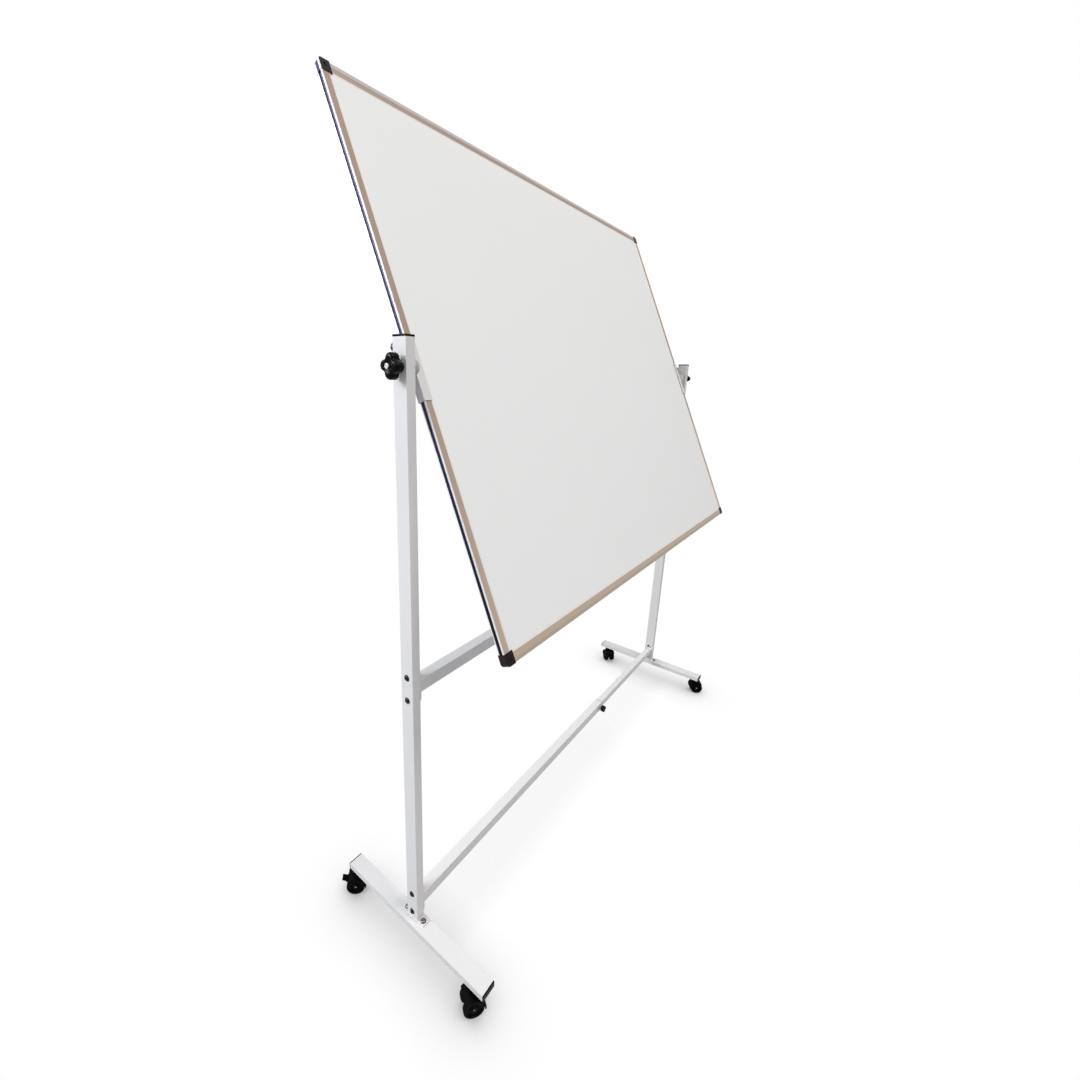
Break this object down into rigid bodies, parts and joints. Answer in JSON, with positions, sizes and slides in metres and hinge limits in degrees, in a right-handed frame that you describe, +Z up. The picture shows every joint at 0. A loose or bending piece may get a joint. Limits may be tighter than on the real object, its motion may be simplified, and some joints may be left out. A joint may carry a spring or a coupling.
{
  "type": "mobile whiteboard",
  "caption": "Rolling two-sided whiteboard: a framed board that turns on pivot knobs between posts, with castored feet and telescopic crossbars.",
  "frame": {"origin": "on the floor, at the centre of the base: midway between the posts and between the front and back castors", "axes": "+X runs along the board from the left post to the right post, -Y faces the user at the front, +Z is up; the board leans back from upright at rest"},
  "size_m": [1.6466, 0.5233, 1.9703],
  "materials": {
    "powder_coat": "satin white powder coat on steel tube",
    "black_cap": "black moulded caps",
    "black_knob": "black moulded hand knobs",
    "black_bolt": "black coated steel bolts and screws",
    "zinc_steel": "zinc plated steel",
    "nylon_block": "natural nylon",
    "black_bush": "black moulded tube collars",
    "enamel_sheet": "semi-gloss white writing enamel on sheet steel",
    "fibre_core": "raw fibreboard",
    "frame_rail": "anodised extrusion",
    "castor_shell": "black moulded nylon",
    "brake_pedal": "black moulded pedal",
    "castor_wheel": "black moulded wheel with a worn tread"
  },
  "bodies": {
    "left_stand": {"left_post": "powder_coat", "left_post_cap": "black_cap", "left_foot": "powder_coat", "left_foot_caps": "black_cap", "left_post_insert": "nylon_block", "left_plates": "powder_coat", "left_frame_bolts": "black_bolt", "left_frame_nuts": "zinc_steel", "left_castor_stems": "zinc_steel", "left_pivot_washer": "zinc_steel", "lower_outer_tube": "powder_coat", "middle_outer_tube": "powder_coat", "tube_bushes": "black_bush"},
    "right_stand": {"right_post": "powder_coat", "right_post_cap": "black_cap", "right_foot": "powder_coat", "right_foot_caps": "black_cap", "right_post_insert": "nylon_block", "right_plates": "powder_coat", "right_frame_bolts": "black_bolt", "right_frame_nuts": "zinc_steel", "right_castor_stems": "zinc_steel", "right_pivot_washer": "zinc_steel", "lower_inner_tube": "powder_coat", "middle_inner_tube": "powder_coat"},
    "board": {"writing_sheet": "enamel_sheet", "back_sheet": "enamel_sheet", "board_core": "fibre_core", "top_rail": "frame_rail", "bottom_rail": "frame_rail", "left_rail": "frame_rail", "right_rail": "frame_rail", "corner_caps": "black_cap", "corner_screws": "black_bolt", "left_channel": "powder_coat", "left_pivot_stud": "zinc_steel"},
    "right_clamp": {"right_channel": "powder_coat", "right_pivot_stud": "zinc_steel"},
    "left_knob": {"left_pivot_knob": "black_knob"},
    "right_knob": {"right_pivot_knob": "black_knob"},
    "lower_lock": {"lower_lock_knob": "black_knob", "lower_lock_stud": "zinc_steel"},
    "middle_lock": {"middle_lock_knob": "black_knob", "middle_lock_stud": "zinc_steel"},
    "front_left_castor": {"front_left_housing": "castor_shell"},
    "front_left_wheel_pair": {"front_left_wheels": "castor_wheel", "front_left_axle": "zinc_steel"},
    "back_left_castor": {"back_left_housing": "castor_shell"},
    "back_left_wheel_pair": {"back_left_wheels": "castor_wheel", "back_left_axle": "zinc_steel"},
    "back_left_pedal": {"back_left_brake": "brake_pedal"},
    "front_right_castor": {"front_right_housing": "castor_shell"},
    "front_right_wheel_pair": {"front_right_wheels": "castor_wheel", "front_right_axle": "zinc_steel"},
    "back_right_castor": {"back_right_housing": "castor_shell"},
    "back_right_wheel_pair": {"back_right_wheels": "castor_wheel", "back_right_axle": "zinc_steel"},
    "back_right_pedal": {"back_right_brake": "brake_pedal"}
  },
  "joints": [
    {"name": "width_adjust", "type": "slide", "parent": "left_stand", "child": "right_stand", "axis": [1, 0, 0], "range_m": [0, 0.15]},
    {"name": "board_tilt", "type": "hinge", "parent": "left_stand", "child": "board", "pos_m": [-0.777, 0, 1.408], "axis": [1, 0, 0], "continuous": true},
    {"name": "right_clamp_turn", "type": "hinge", "parent": "right_stand", "child": "right_clamp", "pos_m": [0.777, 0, 1.408], "axis": [1, 0, 0], "continuous": true},
    {"name": "left_pivot_knob_turn", "type": "hinge", "parent": "board", "child": "left_knob", "pos_m": [-0.805, 0, 1.408], "axis": [-1, 0, 0], "continuous": true},
    {"name": "right_pivot_knob_turn", "type": "hinge", "parent": "right_clamp", "child": "right_knob", "pos_m": [0.805, 0, 1.408], "axis": [1, 0, 0], "continuous": true},
    {"name": "lower_lock_turn", "type": "hinge", "parent": "left_stand", "child": "lower_lock", "pos_m": [0.2148, -0.0225, 0.132], "axis": [0, -1, 0], "continuous": true},
    {"name": "middle_lock_turn", "type": "hinge", "parent": "left_stand", "child": "middle_lock", "pos_m": [0.2148, -0.0225, 0.739], "axis": [0, -1, 0], "continuous": true},
    {"name": "front_left_swivel", "type": "hinge", "parent": "left_stand", "child": "front_left_castor", "pos_m": [-0.782, -0.212, 0.052], "axis": [0, 0, 1], "continuous": true},
    {"name": "front_left_roll", "type": "hinge", "parent": "front_left_castor", "child": "front_left_wheel_pair", "pos_m": [-0.79511, -0.20282, 0.025], "axis": [-0.5736, -0.8192, 0], "continuous": true},
    {"name": "back_left_swivel", "type": "hinge", "parent": "left_stand", "child": "back_left_castor", "pos_m": [-0.782, 0.212, 0.052], "axis": [0, 0, 1], "continuous": true},
    {"name": "back_left_roll", "type": "hinge", "parent": "back_left_castor", "child": "back_left_wheel_pair", "pos_m": [-0.79331, 0.22331, 0.025], "axis": [-0.7071, -0.7071, 0], "continuous": true},
    {"name": "back_left_brake_press", "type": "hinge", "parent": "back_left_castor", "child": "back_left_pedal", "pos_m": [-0.79331, 0.22331, 0.025], "axis": [-0.7071, -0.7071, 0], "range_deg": [0, 18]},
    {"name": "front_right_swivel", "type": "hinge", "parent": "right_stand", "child": "front_right_castor", "pos_m": [0.782, -0.212, 0.052], "axis": [0, 0, 1], "continuous": true},
    {"name": "front_right_roll", "type": "hinge", "parent": "front_right_castor", "child": "front_right_wheel_pair", "pos_m": [0.79, -0.22586, 0.025], "axis": [0.866, 0.5, 0], "continuous": true},
    {"name": "back_right_swivel", "type": "hinge", "parent": "right_stand", "child": "back_right_castor", "pos_m": [0.782, 0.212, 0.052], "axis": [0, 0, 1], "continuous": true},
    {"name": "back_right_roll", "type": "hinge", "parent": "back_right_castor", "child": "back_right_wheel_pair", "pos_m": [0.77069, 0.20069, 0.025], "axis": [0.7071, -0.7071, 0], "continuous": true},
    {"name": "back_right_brake_press", "type": "hinge", "parent": "back_right_castor", "child": "back_right_pedal", "pos_m": [0.77069, 0.20069, 0.025], "axis": [0.7071, -0.7071, 0], "range_deg": [0, 18]}
  ],
  "couplings": [
    {"joint": "right_clamp_turn", "follows": "board_tilt", "ratio": 1}
  ]
}
